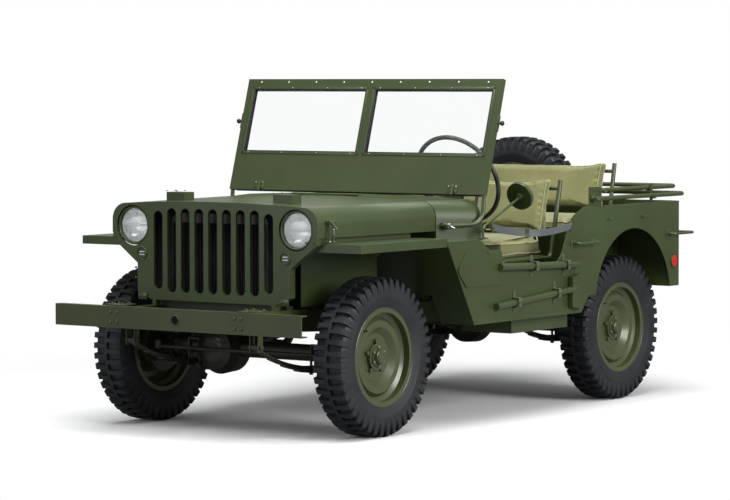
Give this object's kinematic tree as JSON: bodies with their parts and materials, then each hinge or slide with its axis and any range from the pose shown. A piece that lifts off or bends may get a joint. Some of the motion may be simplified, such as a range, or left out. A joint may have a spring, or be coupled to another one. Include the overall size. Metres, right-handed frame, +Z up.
{
  "type": "four-wheel-drive military utility car",
  "caption": "Open light military four-wheel-drive utility car with folding windshield, opening hood, turning and steered wheels, seats, folded top bows and a rear spare.",
  "frame": {"origin": "on the floor, under the middle of the overall box", "axes": "+X forward, +Y the car's left, +Z up"},
  "size_m": [3.327, 1.669, 1.5839],
  "materials": {
    "body_paint": "slightly glossy olive green paint",
    "chassis_paint": "olive green paint, slightly yellower, semi matt",
    "wheel_paint": "olive green paint with a bright rim edge",
    "tyre_rubber": "near-black rubber with a bluish grey sheen",
    "canvas": "khaki yellow canvas",
    "glass": "clear flat glass",
    "lamp_glass": "bright reflectors behind clear glass",
    "black_steel": "black paint, semi matt"
  },
  "bodies": {
    "body": {"axe": "body_paint", "cowl": "body_paint", "cross_members": "chassis_paint", "driver_seat_cushions": "canvas", "driver_seat_frame": "chassis_paint", "engine": "black_steel", "exhaust": "black_steel", "floor": "body_paint", "frame": "chassis_paint", "front_axle": "chassis_paint", "front_bumper": "chassis_paint", "front_fenders": "body_paint", "gearbox": "black_steel", "grab_handles": "body_paint", "grille": "body_paint", "lamps": "lamp_glass", "leaf_springs": "chassis_paint", "mirror": "body_paint", "pedals": "black_steel", "propeller_shafts": "chassis_paint", "radiator": "black_steel", "rear_axle": "chassis_paint", "rear_bumperettes": "chassis_paint", "shovel": "body_paint", "spare_carrier": "body_paint", "spare_tyre": "tyre_rubber", "spare_wheel": "wheel_paint", "steering_column": "chassis_paint", "tow_hook": "chassis_paint", "tub": "body_paint", "wheel_houses": "body_paint"},
    "hood": {"hood": "body_paint"},
    "windshield": {"windshield_frame": "body_paint", "windshield_glass": "glass"},
    "steer_left": {"knuckle_left": "chassis_paint"},
    "steer_right": {"knuckle_right": "chassis_paint"},
    "tie_rod": {"tie_rod": "chassis_paint"},
    "steering_wheel": {"steering_wheel": "black_steel"},
    "wheel_front_left": {"wheel_front_left": "wheel_paint", "tyre_front_left": "tyre_rubber"},
    "wheel_front_right": {"wheel_front_right": "wheel_paint", "tyre_front_right": "tyre_rubber"},
    "wheel_rear_left": {"wheel_rear_left": "wheel_paint", "tyre_rear_left": "tyre_rubber"},
    "wheel_rear_right": {"wheel_rear_right": "wheel_paint", "tyre_rear_right": "tyre_rubber"},
    "upper_bow": {"upper_bow": "chassis_paint"},
    "lower_bow": {"lower_bow": "chassis_paint"},
    "passenger_seat": {"passenger_seat_frame": "chassis_paint", "passenger_seat_cushions": "canvas"},
    "rear_seat": {"rear_seat_frame": "chassis_paint", "rear_seat_cushions": "canvas"},
    "toolbox_lid_left": {"toolbox_lid_left": "body_paint"},
    "toolbox_lid_right": {"toolbox_lid_right": "body_paint"},
    "glovebox_lid": {"glovebox_lid": "body_paint"}
  },
  "joints": [
    {"name": "hood_hinge", "type": "hinge", "parent": "body", "child": "hood", "pos_m": [0.5465, 0, 1.0485], "axis": [0, -1, 0], "range_deg": [0, 100]},
    {"name": "windshield_fold", "type": "hinge", "parent": "body", "child": "windshield", "pos_m": [0.5135, 0, 0.915], "axis": [0, -1, 0], "range_deg": [-105, 0]},
    {"name": "steer_left", "type": "hinge", "parent": "body", "child": "steer_left", "pos_m": [1.0435, 0.485, 0.3555], "axis": [0, 0, 1], "range_deg": [-26, 26]},
    {"name": "steer_right", "type": "hinge", "parent": "body", "child": "steer_right", "pos_m": [1.0435, -0.485, 0.3555], "axis": [0, 0, 1], "range_deg": [-26, 26]},
    {"name": "tie_rod_slide", "type": "slide", "parent": "body", "child": "tie_rod", "axis": [0, 1, 0], "range_m": [-0.07, 0.07]},
    {"name": "steering_wheel_turn", "type": "hinge", "parent": "body", "child": "steering_wheel", "pos_m": [-0.0765, 0.33, 1.105], "axis": [-0.9063, 0, 0.4226], "range_deg": [-370, 370]},
    {"name": "spin_front_left", "type": "hinge", "parent": "steer_left", "child": "wheel_front_left", "pos_m": [1.0435, 0.6225, 0.3555], "axis": [0, 1, 0], "continuous": true},
    {"name": "spin_front_right", "type": "hinge", "parent": "steer_right", "child": "wheel_front_right", "pos_m": [1.0435, -0.6225, 0.3555], "axis": [0, 1, 0], "continuous": true},
    {"name": "spin_rear_left", "type": "hinge", "parent": "body", "child": "wheel_rear_left", "pos_m": [-0.9885, 0.6225, 0.3555], "axis": [0, 1, 0], "continuous": true},
    {"name": "spin_rear_right", "type": "hinge", "parent": "body", "child": "wheel_rear_right", "pos_m": [-0.9885, -0.6225, 0.3555], "axis": [0, 1, 0], "continuous": true},
    {"name": "upper_bow_swing", "type": "hinge", "parent": "body", "child": "upper_bow", "pos_m": [-0.6565, 0, 1.043], "axis": [0, 1, 0], "range_deg": [0, 110]},
    {"name": "lower_bow_swing", "type": "hinge", "parent": "body", "child": "lower_bow", "pos_m": [-0.5915, 0, 1.005], "axis": [0, 1, 0], "range_deg": [0, 70]},
    {"name": "passenger_seat_tip", "type": "hinge", "parent": "body", "child": "passenger_seat", "pos_m": [-0.0465, -0.36, 0.598], "axis": [0, 1, 0], "range_deg": [0, 50]},
    {"name": "rear_seat_tip", "type": "hinge", "parent": "body", "child": "rear_seat", "pos_m": [-0.8815, 0, 0.678], "axis": [0, 1, 0], "range_deg": [0, 45]},
    {"name": "toolbox_lid_left_hinge", "type": "hinge", "parent": "body", "child": "toolbox_lid_left", "pos_m": [-1.3665, 0.5515, 0.8658], "axis": [1, 0, 0], "range_deg": [0, 90]},
    {"name": "toolbox_lid_right_hinge", "type": "hinge", "parent": "body", "child": "toolbox_lid_right", "pos_m": [-1.3665, -0.5515, 0.8658], "axis": [-1, 0, 0], "range_deg": [0, 90]},
    {"name": "glovebox_lid_hinge", "type": "hinge", "parent": "body", "child": "glovebox_lid", "pos_m": [0.2997, -0.43, 0.8945], "axis": [0, -1, 0], "range_deg": [0, 90]}
  ],
  "couplings": [
    {"joint": "steer_right", "follows": "steer_left", "ratio": 1},
    {"joint": "tie_rod_slide", "follows": "steer_left", "m_per_rad": 0.15},
    {"joint": "steering_wheel_turn", "follows": "steer_left", "ratio": 14}
  ]
}
